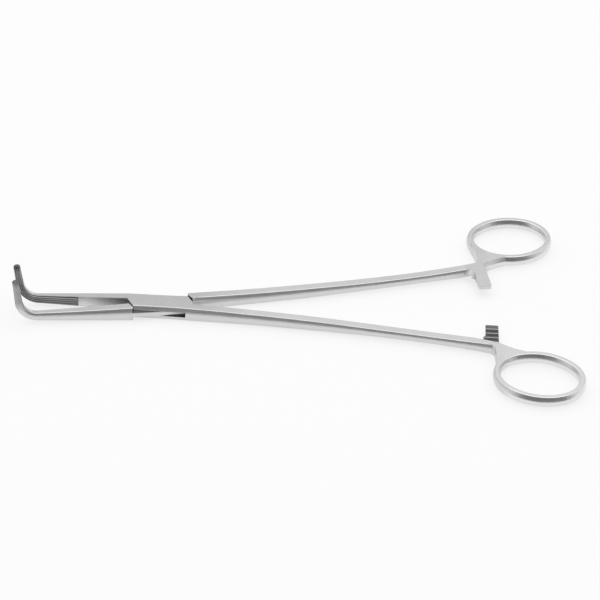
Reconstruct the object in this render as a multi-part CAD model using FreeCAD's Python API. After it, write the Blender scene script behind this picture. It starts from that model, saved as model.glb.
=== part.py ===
import FreeCAD, Part
import math
import os

# Right angle forceps with a box lock, finger rings and a ratchet.
# Each half is built with its grooved face along the X axis, jaws along -X, rings along +X,
# with the pivot axis on Z and the mid-plane of the metal at Z = 0. Both halves are then
# turned apart to the rest opening and raised, so that the box lies on Z = 0.

# Position of rest
rest_opening = 10.6

# Box lock
box_thickness = 5.5
box_top_half = 3.85
box_bulge = 0.85
cheek_reach = 12.2
cheek_side_reach = 9.45
shoulder_corner = 2.3
slot_height = 1.9
slot_end = 9.67
tongue_gap = 0.05
shoulder_gap = 0.12
pin_radius = 1.75
pin_head_flare = 0.5
pin_head_depth = 0.5
pin_running_gap = 0.04

# Jaws
bend_start = 45.7
bend_radius = 6.8
bend_angle = 84.0
jaw_tip_length = 9.1
jaw_tip_lean = 0.85
jaw_edge_middle = 3.28
jaw_edge_bend = 2.42
jaw_edge_tip = 1.6
jaw_height_middle = 4.25
jaw_height_bend = 3.3
jaw_height_tip = 2.3
jaw_relief = 0.5
jaw_bevel = 0.25
tip_round = 1.5
closing_gap = 0.06

# Serrated faces
pad_start = 30.9
pad_height = 2.8
pad_height_tip = 1.9
groove_count = 3
groove_depth = 0.3

# Shanks
shank_root_inner = 1.05
shank_parting = 0.5
flare_length = 2.6
shank_slope = 0.039
shank_top_width = 3.2
shank_heights = [5.5, 5.05, 4.62, 4.3, 3.8, 3.35, 3.12, 3.25, 4.1]

# Finger rings
ring_x = 140.0
ring_y = 33.0
ring_long_half = 15.5
ring_short_half = 13.3
ring_end_radius = 12.2
ring_tilt = 11.4
ring_wall = 2.8
ring_top_width = 1.6
ring_height = 4.1

# Ratchet
ratchet_back = 16.4
arm_width = 4.8
arm_gap = 0.07
arm_past_centre = 0.3
arm_corner = 0.6
fillet_along = [4.8, 2.2]
fillet_down = [7.6, 4.6]
fillet_hollow = [0.33, 0.25]
ledge_slope = 0.29
tooth_pitch = 2.75
first_tooth = 3.2
tooth_depth = 0.6
tooth_count = 4
web_drop = 18.5
toe_angle = 255.0
toe_hollow = 0.54
heel_angle = 192.0
heel_hollow = 0.45
notch_in = 0.6
notch_up = 1.2

# Bevel on long edges
edge_bevel = 0.15

# Worked out from the sizes above
half_thickness = box_thickness / 2
box_full_half = box_top_half + box_bulge
bulge_share = box_bulge / box_thickness
ring_half_height = ring_height / 2
ring_bulge = (ring_wall - ring_top_width) / 2
ratchet_x = ring_x - ratchet_back
web_y = ring_y - web_drop
big = 40.0


def vec(x, y, z=0.0):
    return FreeCAD.Vector(x, y, z)


def arc(a, b, c):
    return Part.Arc(a, b, c).toShape()


def mirrored(shape):
    # the other half's side of the closed instrument
    return shape.mirror(vec(0, 0), vec(0, 1))


def slab(points, low, high):
    # an upright prism over a plan outline of straight edges
    ring = [vec(x, y, low) for x, y in points]
    face = Part.Face(Part.makePolygon(ring + ring[:1]))
    return face.extrude(vec(0, 0, high - low))


def bulged_side(place, top_y, bulge, height):
    # bevel, bowed side and bevel, from the top edge down to the bottom edge;
    # bulge is signed, so that a side can bow either way along y
    half = height / 2
    side = math.copysign(1.0, bulge)
    depth = abs(bulge)
    radius = (half * half + depth * depth) / (2 * depth)
    centre = top_y + side * (depth - radius)
    low = half - edge_bevel
    y_low = centre + side * math.sqrt(radius * radius - low * low)
    y_in = top_y - side * edge_bevel
    top = Part.makeLine(place(y_in, half), place(y_low, low))
    bow = arc(place(y_low, low), place(top_y + bulge, 0), place(y_low, -low))
    bottom = Part.makeLine(place(y_low, -low), place(y_in, -half))
    return [top, bow, bottom], y_in


def bar_section(place, inner, outer, height, bulge):
    # a flat-topped bar with a bowed side each way
    half = height / 2
    out_edges, out_y = bulged_side(place, outer, bulge, height)
    in_edges, in_y = bulged_side(place, inner, -bulge, height)
    top = Part.makeLine(place(in_y, half), place(out_y, half))
    bottom = Part.makeLine(place(in_y, -half), place(out_y, -half))
    return Part.Wire(Part.__sortEdges__([top] + out_edges + [bottom] + in_edges))


def jaw_section(place, inner, outer, height, bulge):
    # flat inner face with bevelled corners, bowed outer side
    half = height / 2
    out_edges, out_y = bulged_side(place, outer, bulge, height)
    corners = [(out_y, half), (inner + jaw_bevel, half), (inner, half - jaw_bevel)]
    points = [place(y, z) for y, z in corners]
    points += [place(y, -z) for y, z in reversed(corners)]
    lines = [Part.makeLine(a, b) for a, b in zip(points, points[1:])]
    return Part.Wire(Part.__sortEdges__(lines + out_edges))


def jaw_place(distance):
    # the jaw's middle line runs straight, turns up round the bend and runs straight again,
    # there with a slight lean towards the other jaw, so that the tips meet first;
    # distance is measured along it from the pivot axis
    turn = math.radians(bend_angle)
    arc_length = bend_radius * turn
    if distance <= bend_start:
        angle = 0.0
        lean = 0.0
        x = -distance
        z = 0.0
    else:
        angle = min(distance - bend_start, arc_length) / bend_radius
        extra = max(0.0, distance - bend_start - arc_length)
        lean = jaw_tip_lean * extra / jaw_tip_length
        x = -bend_start - bend_radius * math.sin(angle) - extra * math.cos(angle)
        z = bend_radius * (1 - math.cos(angle)) + extra * math.sin(angle)

    def place(y, v):
        return vec(x + v * math.sin(angle), y - lean, z + v * math.cos(angle))

    return place


def lofted(section, low, high, spans):
    # smooth bar through evenly spaced sections
    step = (high - low) / spans
    wires = [section(low + index * step) for index in range(spans + 1)]
    return Part.makeLoft(wires, True, spans == 1)


def through(share, start, middle, end):
    # smooth change of a size along a length, by its values at both ends and half way
    rest = 1 - share
    bow = 4 * (middle - (start + end) / 2)
    return start * rest + end * share + bow * share * rest


def jaw_bends():
    # distances at which the bend begins and ends, and that of the tip
    bend_end = bend_start + bend_radius * math.radians(bend_angle)
    return bend_start, bend_end, bend_end + jaw_tip_length


def jaw_sizes(distance):
    # outer edge and height of the plain jaw at a distance along it
    first, last, end = jaw_bends()
    if distance <= first:
        share = (distance - cheek_reach) / (first - cheek_reach)
        edge = through(share, box_top_half, jaw_edge_middle, jaw_edge_bend)
        return edge, through(share, box_thickness, jaw_height_middle, jaw_height_bend)
    share = (distance - first) / (end - first)
    edge = jaw_edge_bend + (jaw_edge_tip - jaw_edge_bend) * share
    return edge, jaw_height_bend + (jaw_height_tip - jaw_height_bend) * share


def plain_section(distance):
    outer, height = jaw_sizes(distance)
    place = jaw_place(distance)
    return jaw_section(place, jaw_relief, outer, height, bulge_share * height)


def along_jaw(section, start):
    # straight length, bend and tip
    first, last, end = jaw_bends()
    parts = [lofted(section, first, last, 4), lofted(section, last, end, 1)]
    return [lofted(section, start, first, 3)] + parts


def pad_section(distance):
    # grooved strip that stands proud of the jaw's inner face
    place = jaw_place(distance)
    share = (distance - pad_start) / (jaw_bends()[-1] - pad_start)
    half = (pad_height + (pad_height_tip - pad_height) * share) / 2
    pitch = 2 * half / groove_count
    back = jaw_relief + jaw_bevel
    points = [place(back, -half - jaw_bevel), place(closing_gap, -half)]
    for index in range(groove_count):
        low = -half + index * pitch
        points.append(place(closing_gap + groove_depth, low + pitch / 2))
        points.append(place(closing_gap, low + pitch))
    points.append(place(back, half + jaw_bevel))
    return Part.makePolygon(points + points[:1])


def round_tip(jaw):
    # the end of the jaw is turned to a ball nose
    end = jaw_bends()[-1]
    outer, height = jaw_sizes(end)
    middle = (closing_gap + outer + bulge_share * height) / 2
    centre = jaw_place(end - tip_round)(middle, 0)
    side = 4 * tip_round
    block = Part.makeBox(side, side, side)
    block.translate(centre - vec(side / 2, side / 2))
    return jaw.cut(block.cut(Part.makeSphere(tip_round, centre)))


def jaw():
    parts = along_jaw(plain_section, cheek_reach) + along_jaw(pad_section, pad_start)
    return round_tip(parts[0].multiFuse(parts[1:]))


def shank_centre(x):
    # bowed line from the box to the ratchet
    root = shank_root_inner + shank_top_width / 2
    run = x - cheek_reach
    full = ratchet_x - cheek_reach
    bow = (web_y - root - shank_slope * full) / (full * full)
    return root + shank_slope * run + bow * run * run


def shank_section(x, height):
    centre = shank_centre(x)
    half = shank_top_width / 2

    def place(y, z):
        return vec(x, y, z)

    return bar_section(place, centre - half, centre + half, height, bulge_share * height)


def shank():
    # deep at the box, shallow and springy behind the middle, deeper again at the ring
    end = ratchet_x - arm_width / 2
    step = (end - cheek_reach) / (len(shank_heights) - 1)
    places = [cheek_reach + step * index for index in range(len(shank_heights))]
    wires = [shank_section(x, height) for x, height in zip(places, shank_heights)]
    last = [wires[-1], shank_section(ratchet_x, ring_height)]
    return Part.makeLoft(wires, True, False).fuse(Part.makeLoft(last, True, True))


def root_flare():
    # widens the shank's inner edge where it leaves the box, with a small hollow curve
    start = cheek_side_reach
    reach = cheek_reach + flare_length
    end = vec(reach, shank_centre(reach) - shank_top_width / 2)
    corner = vec(cheek_reach, shank_parting)
    middle = (corner + end) * 0.5 + vec(-shank_parting / 2, shank_parting / 4)
    outer = shank_centre(cheek_reach)
    corners = [end, vec(reach, outer), vec(start, outer), vec(start, shank_parting), corner]
    edges = [Part.makeLine(a, b) for a, b in zip(corners, corners[1:])]
    face = Part.Face(Part.Wire(edges + [arc(corner, middle, end)]))
    height = shank_section(reach, shank_heights[0]).BoundBox.ZLength - edge_bevel
    face.translate(vec(0, 0, -height / 2))
    return face.extrude(vec(0, 0, height))


def ring_to_place(shape):
    shape.rotate(vec(0, 0), vec(0, 0, 1), ring_tilt)
    shape.translate(vec(ring_x, ring_y))
    return shape


def ring_wall_piece(centre, start, swing):
    # part of the ring's wall turned about its own centre, start is its middle line's point
    half = ring_top_width / 2
    out = (start - centre).normalize()

    def place(y, z):
        return start + out * y + vec(0, 0, z)

    profile = Part.Face(bar_section(place, -half, half, ring_height, ring_bulge))
    profile.rotate(centre, vec(0, 0, 1), -swing)
    return profile.revolve(centre, vec(0, 0, 1), 2 * swing)


def ring():
    # oval of four arcs that run into one another: tight ones at the ends of the long axis
    # and wide ones between them
    tight = ring_long_half - ring_end_radius
    spare = ring_short_half - ring_end_radius
    wide = (tight * tight - spare * spare) / (2 * spare)
    swing = math.degrees(math.atan2(wide, tight))
    pieces = []
    for side in (1, -1):
        long_end = vec(side * ring_long_half, 0)
        short_end = vec(0, side * ring_short_half)
        pieces.append(ring_wall_piece(vec(side * tight, 0), long_end, swing))
        pieces.append(ring_wall_piece(vec(0, -side * wide), short_end, 90 - swing))
    return ring_to_place(pieces[0].multiFuse(pieces[1:]))


def ring_point(angle, offset):
    # point on an offset of the ring's middle line, by angle about its centre
    turn = math.radians(angle - ring_tilt)
    u = (ring_long_half + offset) * math.cos(turn)
    w = (ring_short_half + offset) * math.sin(turn)
    tilt = math.radians(ring_tilt)
    x = ring_x + u * math.cos(tilt) - w * math.sin(tilt)
    y = ring_y + u * math.sin(tilt) + w * math.cos(tilt)
    return vec(x, y)


def ledge(x):
    # straight inner boundary of the metal that keeps its full depth beside the arm
    right = ratchet_x + arm_width / 2
    return vec(x, web_y + edge_bevel + ledge_slope * (x - right))


def web_hollow():
    # the hollow curve of the gusset's inner side: its two ends and a point between them
    right = ledge(ratchet_x + arm_width / 2)
    toe = ring_point(toe_angle, ring_top_width / 2)
    across = (toe - right).normalize()
    return right, (right + toe) * 0.5 + vec(-across.y, across.x) * toe_hollow, toe


def web_outline():
    # flat gusset between shank, arm and ring: inner side runs along the ledge and meets
    # the ring's wall, outer side turns up into the ring with a tight fillet
    half = shank_top_width / 2
    start = ratchet_x - arm_width / 2
    right, low_middle, toe = web_hollow()
    outer = vec(start, shank_centre(start) + half - edge_bevel)
    toe_in = ring_point(toe_angle, 0)
    heel = ring_point(heel_angle, ring_top_width / 2)
    heel_in = ring_point(heel_angle, 0)
    notch = vec(ratchet_x + notch_in, web_y + half + notch_up)
    across = (heel - notch).normalize()
    up_middle = (notch + heel) * 0.5 + vec(across.y, -across.x) * heel_hollow
    corner = vec(ratchet_x - notch_in, web_y + half - edge_bevel)
    edges = [Part.makeLine(ledge(start), right), arc(right, low_middle, toe)]
    edges.append(Part.makeLine(toe, toe_in))
    edges.append(arc(toe_in, ring_point((toe_angle + heel_angle) / 2, 0), heel_in))
    edges.append(Part.makeLine(heel_in, heel))
    edges.append(arc(heel, up_middle, notch))
    corners = [notch, corner, outer, ledge(start)]
    edges += [Part.makeLine(a, b) for a, b in zip(corners, corners[1:])]
    return Part.Wire(edges)


def web_side():
    # carries the ring's bowed wall on along the gusset's hollow side
    right, middle, toe = web_hollow()
    centre = arc(right, middle, toe).Curve.Center
    out = (centre - toe).normalize()
    half = ring_top_width / 2

    def place(y, z):
        return toe + out * y + vec(0, 0, z)

    profile = Part.Face(bar_section(place, -half, 0, ring_height, ring_bulge))
    turn = math.degrees((toe - centre).getAngle(right - centre))
    return profile.revolve(centre, vec(0, 0, 1), turn)


def web():
    face = Part.Face(web_outline())
    face.translate(vec(0, 0, -ring_half_height))
    return face.extrude(vec(0, 0, ring_height)).fuse(web_side())


def arm_outline(along, down, hollow, level):
    # plan of the ratchet arm at one level, with the fillet that runs out of the shank's
    # inner edge and with rounded corners at its end
    left = ratchet_x - arm_width / 2
    right = ratchet_x + arm_width / 2
    end = -arm_past_centre
    reach = left - along
    edge = shank_centre(reach) - shank_top_width / 2
    root = web_y + edge_bevel
    run_in = vec(reach, edge + 2 * edge_bevel)
    bend = vec(left - hollow * along, edge - hollow * down)
    run_out = vec(left, edge - down)
    cut = arm_corner
    near = cut * (1 - math.sqrt(0.5))
    low_left = [vec(left, end + cut), vec(left + near, end + near), vec(left + cut, end)]
    low_right = [vec(right - cut, end), vec(right - near, end + near), vec(right, end + cut)]
    edges = [arc(run_in, bend, run_out), Part.makeLine(run_out, low_left[0]), arc(*low_left)]
    edges += [Part.makeLine(low_left[2], low_right[0]), arc(*low_right)]
    corners = [low_right[2], vec(right, root), vec(reach, root), run_in]
    edges += [Part.makeLine(a, b) for a, b in zip(corners, corners[1:])]
    wire = Part.Wire(edges)
    wire.translate(vec(0, 0, level))
    return wire


def tooth_cut():
    # room between the teeth, cut into the arm from its toothed face at Z = arm_gap
    # upwards: one ramp per tooth, rising from the steep face behind it
    left = ratchet_x - arm_width - fillet_along[0]
    cuts = []
    for index in range(tooth_count):
        steep = first_tooth + index * tooth_pitch
        tip = steep - tooth_pitch
        if index == 0:
            tip = -2 * arm_past_centre
        points = [(tip, 0), (steep, 0), (tip, tooth_depth)]
        corners = [vec(left, y, arm_gap + z) for y, z in points]
        face = Part.Face(Part.makePolygon(corners + corners[:1]))
        cuts.append(face.extrude(vec(4 * arm_width, 0, 0)))
    return cuts[0].multiFuse(cuts[1:])


def ratchet_arm():
    # upper arm, flush with the top of the ring, toothed underneath, where its fillet is
    # wider than on top
    levels = [arm_gap, ring_half_height]
    sizes = zip(fillet_along, fillet_down, fillet_hollow, levels)
    wires = [arm_outline(*size) for size in sizes]
    return Part.makeLoft(wires, True, True).cut(tooth_cut())


def ledge_cut():
    # the other half's arm passes here, so below the upper arm the metal is cut back to
    # the ledge
    right = ratchet_x + arm_width / 2
    first = ledge(right - 2.5 * arm_width)
    last = ledge(right)
    corners = [first, last, last - vec(0, arm_width), first - vec(0, arm_width)]
    return slab([(corner.x, corner.y) for corner in corners], -box_thickness, arm_gap)


def handle():
    # shank, gusset, ring and arm of the half whose arm is uppermost
    bar = shank().cut(ledge_cut())
    return bar.multiFuse([root_flare(), web(), ring(), ratchet_arm()])


def box_block():
    # the bar that both halves share at the box, bowed on both sides and a little wider
    # towards the shanks
    wide = shank_root_inner + shank_top_width

    def section(x):
        share = max(0.0, x / cheek_reach)
        half = box_top_half + (wide - box_top_half) * share * share

        def place(y, z):
            return vec(x, y, z)

        return bar_section(place, -half, half, box_thickness, box_bulge)

    return lofted(section, -cheek_reach, cheek_reach, 6)


def beyond_cheek(gap, corner_cut):
    # everything outside the slanted end of the cheeks, on the +X +Y side, with its outer
    # corner rounded off by corner_cut
    run = cheek_reach - cheek_side_reach
    slope = run / box_full_half
    shift = gap * math.hypot(run, box_full_half) / box_full_half

    def on_line(y):
        return vec(cheek_reach + shift - slope * y, y)

    start = on_line(shank_parting)
    if corner_cut == 0:
        edges = [Part.makeLine(start, on_line(big))]
        last = on_line(big)
    else:
        corner = on_line(box_full_half)
        before = on_line(box_full_half - corner_cut)
        last = corner + vec(corner_cut, 0)
        middle = corner * 0.4 + before * 0.3 + last * 0.3
        edges = [Part.makeLine(start, before), arc(before, middle, last)]
    corners = [last, vec(last.x, 2 * big), vec(big, 2 * big), vec(big, start.y), start]
    edges += [Part.makeLine(a, b) for a, b in zip(corners, corners[1:])]
    face = Part.Face(Part.Wire(edges))
    face.translate(vec(0, 0, -box_thickness))
    return face.extrude(vec(0, 0, 2 * box_thickness))


def half_turned(shape):
    # the same feature on the other end of the box
    turned = shape.copy()
    turned.rotate(vec(0, 0), vec(0, 0, 1), 180)
    return turned


def pin():
    # rivet with both ends spread into countersinks and ground flush
    body = Part.makeCylinder(pin_radius, box_thickness, vec(0, 0, -half_thickness))
    head_radius = pin_radius + pin_head_flare
    depth = pin_head_depth
    top = Part.makeCone(pin_radius, head_radius, depth, vec(0, 0, half_thickness - depth))
    low = Part.makeCone(head_radius, pin_radius, depth, vec(0, 0, -half_thickness))
    return body.fuse(top).fuse(low).removeSplitter()


def slot():
    # opening through the box from side to side, where the tongue turns; it runs out at the
    # slanted ends, where the other half's jaw and shank leave the box
    side = 4 * box_full_half
    low = -slot_height / 2
    cavity = Part.makeBox(2 * slot_end, side, slot_height, vec(-slot_end, -side / 2, low))
    run_out = Part.makeBox(2 * cheek_reach, side, slot_height, vec(0, 0, low))
    return cavity.fuse(run_out).fuse(half_turned(run_out))


def box_half():
    # jaw on +Y, shank on -Y: the cheeks, the slot between them and the pin's seat
    ends = beyond_cheek(0, 0)
    ends = ends.fuse(half_turned(ends))
    cheeks = box_block().cut(ends)
    lower_handle = handle()
    lower_handle.rotate(vec(0, 0), vec(1, 0, 0), 180)
    body = cheeks.fuse(jaw()).fuse(lower_handle)
    return body.cut(slot()).cut(pin())


def tongue():
    # thin middle of the other half, round ended inside the slot so that it can turn
    height = slot_height - 2 * tongue_gap
    disc = Part.makeCylinder(slot_end - shoulder_gap, height, vec(0, 0, -height / 2))
    corner = (cheek_reach + shoulder_gap, 2 * tongue_gap)
    side = 2 * box_full_half
    quarter = [(0, corner[1]), corner, (corner[0], side), (0, side)]
    lobe = slab(quarter, -height / 2, height / 2)
    plate = disc.multiFuse([lobe, half_turned(lobe)]).removeSplitter()
    return box_block().common(plate)


def male_half():
    # jaw on -Y, shank on +Y: full thickness outside the cheeks, tongue between them
    cut_handle = handle()
    outside = beyond_cheek(shoulder_gap, shoulder_corner)
    shoulders = box_block().common(outside.fuse(half_turned(outside)))
    body = shoulders.fuse(mirrored(jaw())).fuse(cut_handle)
    beyond = beyond_cheek(shoulder_gap, 0)
    cheek_room = box_block().cut(beyond).cut(half_turned(beyond))
    body = body.cut(cheek_room).fuse(tongue())
    bore = Part.makeCylinder(pin_radius + pin_running_gap, 4 * box_thickness)
    bore.translate(vec(0, 0, -2 * box_thickness))
    return body.cut(bore)


def at_rest(shape, turn):
    placed = shape.removeSplitter()
    placed.rotate(vec(0, 0), vec(0, 0, 1), turn)
    placed.translate(vec(0, 0, half_thickness))
    return placed


def main():
    os.makedirs("parts", exist_ok=True)
    nodes = {
        "box_half": at_rest(box_half(), -rest_opening / 2),
        "male_half": at_rest(male_half(), rest_opening / 2),
        "pivot_pin": at_rest(pin(), -rest_opening / 2),
    }
    for name, shape in nodes.items():
        print(name, shape.isValid(), len(shape.Solids), round(shape.Volume, 1))
        shape.exportStep("parts/" + name + ".step")


main()
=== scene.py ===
import bpy
import bmesh
import math
from mathutils import Matrix, Vector

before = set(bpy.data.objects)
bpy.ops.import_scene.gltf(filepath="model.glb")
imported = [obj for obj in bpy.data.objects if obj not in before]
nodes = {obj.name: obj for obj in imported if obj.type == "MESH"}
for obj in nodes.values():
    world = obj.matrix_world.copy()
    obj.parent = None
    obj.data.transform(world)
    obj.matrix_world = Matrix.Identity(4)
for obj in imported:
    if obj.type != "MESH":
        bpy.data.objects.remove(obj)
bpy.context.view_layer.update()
print("frame loaded:", ", ".join(sorted(nodes)))


class Wire:
    # one node socket, so that shader maths can be written as plain expressions
    def __init__(self, shader, socket):
        self.shader = shader
        self.socket = socket

    def math(self, operation, other=None, flip=False):
        first, second = (other, self) if flip else (self, other)
        values = {0: first} if second is None else {0: first, 1: second}
        return self.shader.node("ShaderNodeMath", {"operation": operation}, values)

    def __add__(self, other):
        return self.math("ADD", other)

    def __radd__(self, other):
        return self.math("ADD", other, True)

    def __sub__(self, other):
        return self.math("SUBTRACT", other)

    def __rsub__(self, other):
        return self.math("SUBTRACT", other, True)

    def __mul__(self, other):
        return self.math("MULTIPLY", other)

    def __rmul__(self, other):
        return self.math("MULTIPLY", other, True)

    def __truediv__(self, other):
        return self.math("DIVIDE", other)

    def clamped(self):
        return self.shader.node("ShaderNodeClamp", {}, {"Value": self})


class Shader:
    # the nodes of one material, or of the world
    def __init__(self, owner):
        owner.use_nodes = True
        self.tree = owner.node_tree
        self.tree.nodes.clear()

    def node(self, kind, settings, values, output=0):
        # any node: its settings first, then numbers or wires for its sockets
        made = self.tree.nodes.new(kind)
        for name, value in settings.items():
            if name == "stops":
                self.setStops(made.color_ramp, value)
            else:
                setattr(made, name, value)
        for name, value in values.items():
            if isinstance(value, Wire):
                self.tree.links.new(value.socket, made.inputs[name])
            else:
                made.inputs[name].default_value = value
        return None if output is None else Wire(self, made.outputs[output])

    def setStops(self, ramp, stops):
        while len(ramp.elements) < len(stops):
            ramp.elements.new(1.0)
        for element, (place, brightness) in zip(ramp.elements, stops):
            element.position = place
            element.color = grey(brightness)

    def split(self, vector, axes="XYZ"):
        return [self.node("ShaderNodeSeparateXYZ", {}, {0: vector}, axis) for axis in axes]

    def finish(self, kind, surface):
        self.node(kind, {"is_active_output": True}, {"Surface": surface}, None)


def grey(brightness):
    return (brightness, brightness, brightness, 1.0)


# camera, at the photograph's angle: angles in degrees, lengths in metres
cameraPlace = {
    "elevation": 34.0, "azimuth": -4.155, "roll": 2.392, "distance": 0.904326,
    "target": (0.0523459, 0.0046289, 0.00275), "clipStart": 0.01,
    "focalPixels": 2407.32, "picturePixels": 600, "sensorMillimetres": 36.0,
}


def makeCamera(values):
    elevation, azimuth, roll = (math.radians(values[key]) for key in ("elevation", "azimuth", "roll"))
    back = Vector((math.sin(azimuth) * math.cos(elevation), -math.cos(azimuth) * math.cos(elevation),
                   math.sin(elevation)))
    right = Vector((math.cos(azimuth), math.sin(azimuth), 0.0))
    up = back.cross(right)
    across = right * math.cos(roll) + up * math.sin(roll)
    upright = up * math.cos(roll) - right * math.sin(roll)
    data = bpy.data.cameras.new("camera")
    data.sensor_width = values["sensorMillimetres"]
    data.lens = values["focalPixels"] / values["picturePixels"] * values["sensorMillimetres"]
    data.clip_start = values["clipStart"]
    camera = bpy.data.objects.new("camera", data)
    turn = Matrix((across, upright, back)).transposed().to_4x4()
    camera.matrix_world = Matrix.Translation(Vector(values["target"]) + back * values["distance"]) @ turn
    bpy.context.scene.collection.objects.link(camera)
    bpy.context.scene.camera = camera


makeCamera(cameraPlace)
bpy.context.scene.view_settings.view_transform = "Standard"
print("camera placed")

# white paper under the forceps: it lights them as paper does, and is seen as nearly plain white
floorPaper = {"size": 3.0, "colour": 0.94, "shownWhite": 0.74}


def makeFloor(values):
    mesh = bpy.data.meshes.new("floor")
    shape = bmesh.new()
    bmesh.ops.create_grid(shape, x_segments=1, y_segments=1, size=values["size"])
    shape.to_mesh(mesh)
    shape.free()
    floor = bpy.data.objects.new("floor", mesh)
    bpy.context.scene.collection.objects.link(floor)
    material = bpy.data.materials.new("floorPaper")
    shader = Shader(material)
    paper = shader.node("ShaderNodeBsdfDiffuse", {}, {"Color": grey(values["colour"])})
    white = shader.node("ShaderNodeEmission", {}, {"Color": grey(1.0), "Strength": 1.0})
    share = lookedAt(shader) * values["shownWhite"]
    both = shader.node("ShaderNodeMixShader", {}, {0: share, 1: paper, 2: white})
    shader.finish("ShaderNodeOutputMaterial", both)
    mesh.materials.append(material)


def lookedAt(shader):
    # 1 where the floor is seen, straight or in a reflection, 0 where it only lights
    straight, mirrored, through = (shader.node("ShaderNodeLightPath", {}, {}, ray)
                                   for ray in ("Is Camera Ray", "Is Glossy Ray", "Is Transmission Ray"))
    return (straight + mirrored + through).clamped()


# sky: stops of height (0 straight down, 1 straight up) and brightness, lowered towards the front
sky = {
    "stops": ((0.0, 0.16), (0.35, 0.16), (0.55, 0.7), (1.0, 1.0)),
    "frontDepth": 0.8, "frontFocus": 3.0,
}


def makeSky(values):
    # the camera sees plain white where the sky itself would show
    world = bpy.data.worlds.new("studio")
    bpy.context.scene.world = world
    shader = Shader(world)
    way = shader.node("ShaderNodeTexCoord", {}, {}, "Generated")
    across, height = shader.split(way, "YZ")
    front = (across * -1.0).clamped().math("POWER", values["frontFocus"])
    climb = height * 0.5 + 0.5 - front * values["frontDepth"]
    colour = shader.node("ShaderNodeValToRGB", {"stops": values["stops"]}, {0: climb})
    light = shader.node("ShaderNodeBackground", {}, {"Color": colour, "Strength": 1.0})
    white = shader.node("ShaderNodeBackground", {}, {"Color": grey(1.0), "Strength": 1.0})
    seen = shader.node("ShaderNodeLightPath", {}, {}, "Is Camera Ray")
    both = shader.node("ShaderNodeMixShader", {}, {0: seen, 1: light, 2: white})
    shader.finish("ShaderNodeOutputWorld", both)


# one large soft lamp, above and behind
softbox = {"power": 4.0, "size": 1.6, "place": (0.08, 0.45, 1.15)}


def makeLamp(values):
    data = bpy.data.lights.new("softbox", "AREA")
    data.shape = "SQUARE"
    data.size = values["size"]
    data.energy = values["power"]
    lamp = bpy.data.objects.new("softbox", data)
    place = Vector(values["place"])
    turn = place.to_track_quat("Z", "Y").to_matrix().to_4x4()
    lamp.matrix_world = Matrix.Translation(place) @ turn
    bpy.context.scene.collection.objects.link(lamp)


makeFloor(floorPaper)
makeSky(sky)
makeLamp(softbox)
print("floor and light ready")


def rising(value, start, soft):
    # 0 up to start, then rising to 1 over soft
    return ((value - start) / soft).clamped()


def band(value, low, high, soft):
    # 1 between low and high, fading to 0 over soft outside them
    return rising(value, low - soft, soft) * (1.0 - rising(value, high, soft))


def blend(start, end, share):
    # start where share is 0, end where it is 1
    return start + (end - start) * share


def noise(shader, place, grain):
    # noise about zero
    values = {"Vector": place, **grain}
    return shader.node("ShaderNodeTexNoise", {"noise_dimensions": "3D"}, values, "Fac") - 0.5


# parts of a half, each as start and softness: x from the pin's axis, z from the ground, up of a normal
halfParts = {
    "flatUp": (0.93, 0.05),  # top and bottom faces alone
    "levelUp": (0.7, 0.1),  # gentle slopes too, such as the ratchet's ramps
    "boxEnd": (0.015, 0.02),
    "ringStart": (0.1265, 0.003),
    "jawRise": (0.0055, 0.003),
}


class HalfPlace:
    # where a surface point is, and how it faces, seen along its own half
    def __init__(self, shader, parts, turn, jawSide):
        back = (0.0, 0.0, -turn)
        self.whole = shader.node("ShaderNodeTexCoord", {}, {}, "Object")
        self.own = shader.node("ShaderNodeMapping", {"vector_type": "POINT"},
                               {"Vector": self.whole, "Rotation": back})
        self.x, across, self.z = shader.split(self.own)
        self.side = across * jawSide  # above 0 where the half's jaw lies, below 0 where its shank lies
        facing = shader.node("ShaderNodeTexCoord", {}, {}, "Normal")
        ownFacing = shader.node("ShaderNodeMapping", {"vector_type": "VECTOR"},
                                {"Vector": facing, "Rotation": back})
        self.facingAlong, self.facingAcross, facingUp = shader.split(ownFacing)
        self.up = facingUp.math("ABSOLUTE")
        self.flat = rising(self.up, *parts["flatUp"])
        self.level = rising(self.up, *parts["levelUp"])
        self.onBox = (1.0 - rising(self.x, *parts["boxEnd"])) * self.flat
        self.onRing = rising(self.x, *parts["ringStart"])
        self.onUpright = rising(self.z, *parts["jawRise"])

    def inBlock(self, block):
        # 1 inside a block, which gives low, high and softness for some of x, side and z
        return math.prod(band(getattr(self, axis), *limits) for axis, limits in block.items())


# places that get painted shade and a rougher finish, in metres: blocks, bands as low, high and softness,
# starts with softness
placesDullAndShaded = {
    "grooves": {"x": (-0.08, -0.0309, 0.0003), "side": (-0.001, 0.00064, 0.0001)},
    "grooveFloor": (0.0001, 0.0002), "grooveLeast": 0.25,
    "hollow": {"x": (-0.0309, -0.0118, 0.0003), "side": (-0.001, 0.00062, 0.0001)},
    "hollowStart": (-0.028, 0.014), "hollowShare": 0.75,
    "tipStart": (0.0152, 0.0024), "tipShare": 0.75,
    "slot": {"x": (-0.0097, 0.0097, 0.0001), "side": (-0.0042, 0.0042, 0.0001),
             "z": (0.0017, 0.0038, 0.00003)},
    "tongue": {"x": (-0.0125, 0.0125, 0.0001), "z": (0.0017, 0.0038, 0.00003)},
    "shoulders": (0.009, 0.0128, 0.0002),
    "shoulderFacing": (0.863, 0.505), "shoulderNear": (0.9, 0.05),  # normal along and across the half
    "ratchet": {"x": (0.1155, 0.1262, 0.0002), "side": (-0.0138, 0.0006, 0.0003),
                "z": (0.0019, 0.0035, 0.00005)},
    "toothPitch": 0.00275, "toothOffset": 0.0032,
    "crestPart": (0.72, 0.12), "crestStart": (0.0008, 0.0002),  # part of a pitch, and where crests begin
}


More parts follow.
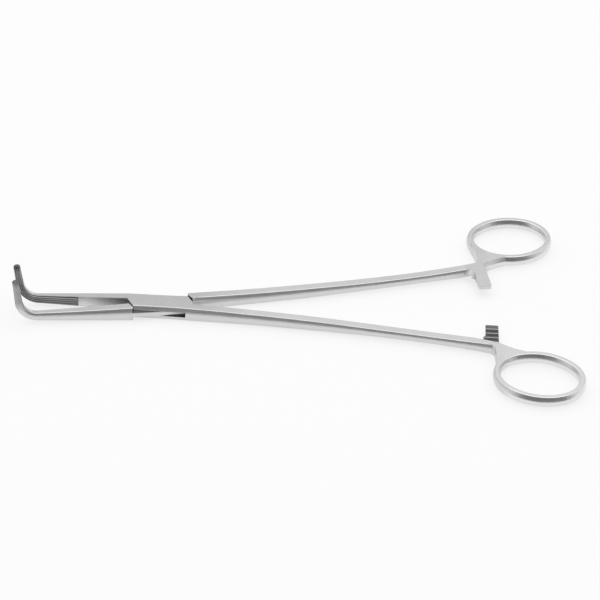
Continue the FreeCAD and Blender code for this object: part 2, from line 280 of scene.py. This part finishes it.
def dullWithPaintedShade(at, values):
    # 1 where the steel is rougher and darkened as painted shade: jaws' grooves, hollows and tips, box
    # lock's inside, ratchet's ramps
    grooveShare = blend(values["grooveLeast"], 1.0, rising(at.side, *values["grooveFloor"]))
    grooves = at.inBlock(values["grooves"]) * grooveShare
    hollow = at.inBlock(values["hollow"]) * (1.0 - at.flat) * rising(at.x, *values["hollowStart"])
    tips = rising(at.z, *values["tipStart"])
    slot = at.inBlock(values["slot"])
    tongue = at.inBlock(values["tongue"]) * at.flat
    alongPart, acrossPart = values["shoulderFacing"]
    slant = (at.facingAlong * alongPart + at.facingAcross * acrossPart).math("ABSOLUTE")
    shoulders = rising(slant, *values["shoulderNear"]) * band(at.x.math("ABSOLUTE"), *values["shoulders"])
    outwards = at.side * -1.0
    tooth = ((outwards - values["toothOffset"]) / values["toothPitch"]).math("FRACT")
    # painted highlight: the ratchet's crests are left out of the painted shade, so they show as light lines
    crests = rising(tooth, *values["crestPart"]) * rising(outwards, *values["crestStart"])
    ramps = at.inBlock(values["ratchet"]) * at.level * (1.0 - crests)
    partly = hollow * values["hollowShare"] + tips * values["tipShare"]
    return (grooves + partly + slot + tongue + shoulders + ramps).clamped()


# steel: satin on flat faces, polished on rounded sides, with painted shade along edges
steel = {
    "wallColour": 0.7, "topColour": 0.57, "boxColour": 0.46, "edgeShadeColour": 0.2,
    "ringWallLift": 0.1, "ringTopLift": 0.03,  # added to the rings' colour
    "tint": (1.0, 1.002, 1.006),  # red, green and blue
    "blast": {"Scale": 3200.0, "Detail": 3.0, "Roughness": 0.65},
    "blotch": {"Scale": 140.0, "Detail": 3.0, "Roughness": 0.5},
    "brush": {"Scale": 2600.0, "Detail": 2.0, "Roughness": 0.6},
    "brushStretch": (0.06, 1.0, 1.0),
    "blastShade": 0.22, "blotchShade": 0.06, "brushShade": 0.05, "paintedShadeDepth": 0.7,
    "satinRoughness": 0.28, "polishedRoughness": 0.36, "ringRoughness": 0.26, "edgeRoughness": 0.3,
    "blotchRoughness": 0.08, "brushRoughness": 0.06, "dullRoughness": 0.15,
    "blastHeight": 0.9, "brushHeight": 0.35, "bumpStrength": 0.12, "bumpDistance": 0.00002,
    "edgeWidth": 0.00013, "edgeSamples": 6, "edgeGain": 12.0,
    "pinEdge": (0.0025, 0.0003),  # distance from the pin's axis where toning down starts
    "stripUp": (0.62, 0.8, 0.04), "stripAcross": (0.45, 0.1), "stripShade": 0.38,  # slanted strips, darkened as painted shade to dim their reflection
    "wallLean": 0.09, "wallLeanHeight": (0.00125, 0.0025),  # how far walls' normals lean upwards, and where
    "ringLean": 0.26, "ringLeanHeight": (0.00175, 0.00335, 0.0012),
}


def edges(shader, at, rounded, values):
    # 1 along the edges, but not round the pin's flush ends
    normal = shader.node("ShaderNodeNewGeometry", {}, {}, "Normal")
    pair = {0: rounded, 1: normal}
    same = shader.node("ShaderNodeVectorMath", {"operation": "DOT_PRODUCT"}, pair, "Value")
    fromPin = (at.x * at.x + at.side * at.side).math("SQRT")
    return ((1.0 - same) * values["edgeGain"]).clamped() * rising(fromPin, *values["pinEdge"])


def leanUpwards(shader, at, rounded, values):
    # walls are dressed a little rounder than the solids, the rings' most of all
    onWalls = rising(at.z, *values["wallLeanHeight"]) * values["wallLean"]
    onRings = band(at.z, *values["ringLeanHeight"]) * values["ringLean"]
    lean = blend(onWalls, onRings, at.onRing) * (1.0 - at.level)
    lift = shader.node("ShaderNodeCombineXYZ", {}, {"Z": lean})
    leaned = shader.node("ShaderNodeVectorMath", {"operation": "ADD"}, {0: rounded, 1: lift})
    return shader.node("ShaderNodeVectorMath", {"operation": "NORMALIZE"}, {0: leaned})


def makeSteel(name, values, turn, jawSide):
    material = bpy.data.materials.new(name)
    shader = Shader(material)
    at = HalfPlace(shader, halfParts, math.radians(turn), jawSide)
    shadedDull = dullWithPaintedShade(at, placesDullAndShaded)
    rounded = shader.node("ShaderNodeBevel", {"samples": values["edgeSamples"]},
                          {"Radius": values["edgeWidth"]})
    edge = edges(shader, at, rounded, values)
    blast = noise(shader, at.whole, values["blast"])
    blotch = noise(shader, at.whole, values["blotch"])
    stretched = shader.node("ShaderNodeMapping", {"vector_type": "POINT"},
                            {"Vector": at.own, "Scale": values["brushStretch"]})
    brush = noise(shader, stretched, values["brush"])

    # tops are darker than walls, darkest on the box and the upright part of the jaws
    base = blend(values["wallColour"], values["topColour"], at.flat)
    base = blend(base, values["boxColour"], (at.onBox + at.onUpright).clamped())
    base = base + at.onRing * blend(values["ringWallLift"], values["ringTopLift"], at.flat)
    # painted shade: colour is darkened along edges, to dim their bright reflections
    shade = base + (values["edgeShadeColour"] - base) * edge
    shade = shade + blast * values["blastShade"] * at.flat
    shade = shade + blotch * values["blotchShade"] + brush * values["brushShade"]
    # painted shade: the slanted edge strips are darkened in colour
    strips = band(at.up, *values["stripUp"])
    strips = strips * rising(at.facingAcross.math("ABSOLUTE"), *values["stripAcross"])
    # painted shade: the dull places are darkened in colour, standing in for shadow and dark reflections in
    # recesses, gaps and tips
    shade = shade * (1.0 - shadedDull * values["paintedShadeDepth"]) * (1.0 - strips * values["stripShade"])
    channels = {channel: shade * part for channel, part in enumerate(values["tint"])}
    colour = shader.node("ShaderNodeCombineColor", {"mode": "RGB"}, channels)

    rough = blend(values["polishedRoughness"], values["ringRoughness"], at.onRing)
    rough = blend(rough, values["satinRoughness"], at.flat) + shadedDull * values["dullRoughness"]
    rough = rough + blotch * values["blotchRoughness"] + brush * values["brushRoughness"]
    rough = blend(rough, values["edgeRoughness"], edge).clamped()

    # the rings' walls are smooth: no brush marks there
    brushed = 1.0 - at.onRing * (1.0 - at.flat)
    height = blast * at.flat * values["blastHeight"] + brush * brushed * values["brushHeight"]
    bump = shader.node("ShaderNodeBump", {}, {
        "Strength": values["bumpStrength"], "Distance": values["bumpDistance"],
        "Height": height, "Normal": leanUpwards(shader, at, rounded, values)})
    surface = shader.node("ShaderNodeBsdfPrincipled", {}, {
        "Base Color": colour, "Metallic": 1.0, "Roughness": rough, "Normal": bump})
    shader.finish("ShaderNodeOutputMaterial", surface)
    return material


# each node's half: its turn about the pin at rest, in degrees, and the side its jaw lies on;
# the pin sits fast in the box half
restTurn = 5.3
nodeHalves = {"box_half": (-restTurn, 1.0), "male_half": (restTurn, -1.0), "pivot_pin": (-restTurn, 1.0)}

for name, (turn, jawSide) in nodeHalves.items():
    mesh = nodes[name].data
    mesh.materials.clear()
    mesh.materials.append(makeSteel(name + "Steel", steel, turn, jawSide))
print("steel made")
